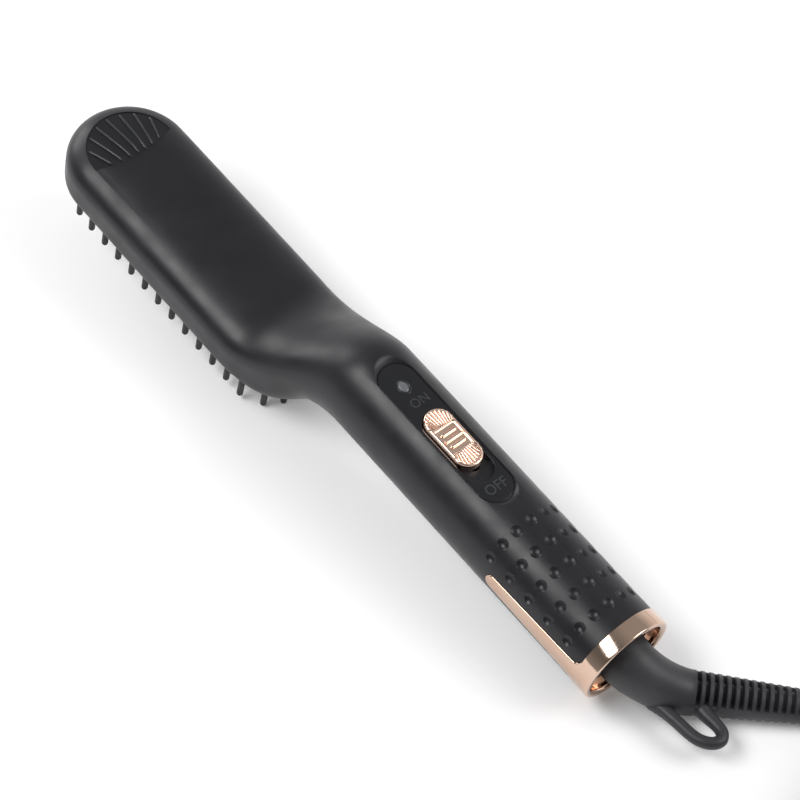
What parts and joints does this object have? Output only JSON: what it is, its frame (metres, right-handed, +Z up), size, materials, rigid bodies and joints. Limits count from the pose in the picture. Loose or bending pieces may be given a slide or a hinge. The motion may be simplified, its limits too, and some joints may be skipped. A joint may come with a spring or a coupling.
{
  "type": "heated hair comb",
  "caption": "Heated straightening comb with a flat toothed head, round handle, slide switch, trim collar and a mains lead on a swivel boot.",
  "frame": {"origin": "on the surface the comb rests on, under the middle of the comb's own box (lead left out)", "axes": "+X from the comb's tip towards the lead, +Z up, teeth down; the comb rests on its rearmost teeth and its collar, so the handle falls 9.4 degrees towards the lead"},
  "size_m": [0.4044, 0.1083, 0.0489],
  "materials": {
    "soft_touch_black": "moulded ABS with soft-touch lacquer",
    "black_nylon": "moulded nylon",
    "coated_aluminium": "die-cast aluminium with ceramic coating",
    "steel": "zinc-plated steel",
    "ceramic": "unglazed",
    "polyimide": "amber film",
    "tray_resin": "glass-filled resin",
    "dark_epoxy": "moulded",
    "lead_silicone": "silicone sleeving",
    "gloss_black": "polished",
    "board_green": "solder resist",
    "brass": "rolled",
    "led_red": "clear dome",
    "clear_window": "frosted clear polycarbonate",
    "rose_gold": "vacuum-plated rose gold",
    "white_nylon": "natural acetal",
    "boot_rubber": "moulded soft PVC",
    "cord_pvc": "extruded PVC sheath",
    "tie_fabric": "woven hook-and-loop",
    "plug_pvc": "moulded PVC",
    "nickel_pins": "nickel-plated brass"
  },
  "bodies": {
    "housing": {"main_housing": "soft_touch_black", "lower_cover": "soft_touch_black", "cover_screws": "steel", "guard_frame": "black_nylon", "guard_teeth": "black_nylon", "heating_plate": "coated_aluminium", "heated_pins": "coated_aluminium", "ptc_heaters": "ceramic", "insulation_film": "polyimide", "clamp_spring": "steel", "heater_tray": "tray_resin", "tray_screws": "steel", "thermal_fuse": "ceramic", "thermistor": "dark_epoxy", "heater_leads": "lead_silicone", "switch_panel": "gloss_black", "circuit_board": "board_green", "board_screws": "steel", "board_components": "dark_epoxy", "slide_switch_body": "dark_epoxy", "switch_terminals": "brass", "indicator_led": "led_red", "led_window": "clear_window", "contact_springs": "brass", "mains_leads": "lead_silicone", "trim_collar": "rose_gold", "bearing_cap": "black_nylon"},
    "switch": {"slide_knob": "rose_gold", "knob_carrier": "white_nylon", "switch_lever": "dark_epoxy"},
    "swivel": {"swivel_spindle": "black_nylon", "slip_rings": "brass", "cord_boot": "boot_rubber", "hanging_loop": "boot_rubber", "strain_relief": "boot_rubber", "mains_cord": "cord_pvc", "cord_coil": "cord_pvc", "coil_tie": "tie_fabric", "plug_body": "plug_pvc", "plug_pins": "nickel_pins"}
  },
  "joints": [
    {"name": "switch_slide", "type": "slide", "parent": "housing", "child": "switch", "axis": [0.9867, 0, -0.1627], "range_m": [0, 0.005]},
    {"name": "cord_swivel", "type": "hinge", "parent": "housing", "child": "swivel", "pos_m": [0.12427, 0, 0.01534], "axis": [0.9867, 0, -0.1627], "continuous": true}
  ]
}
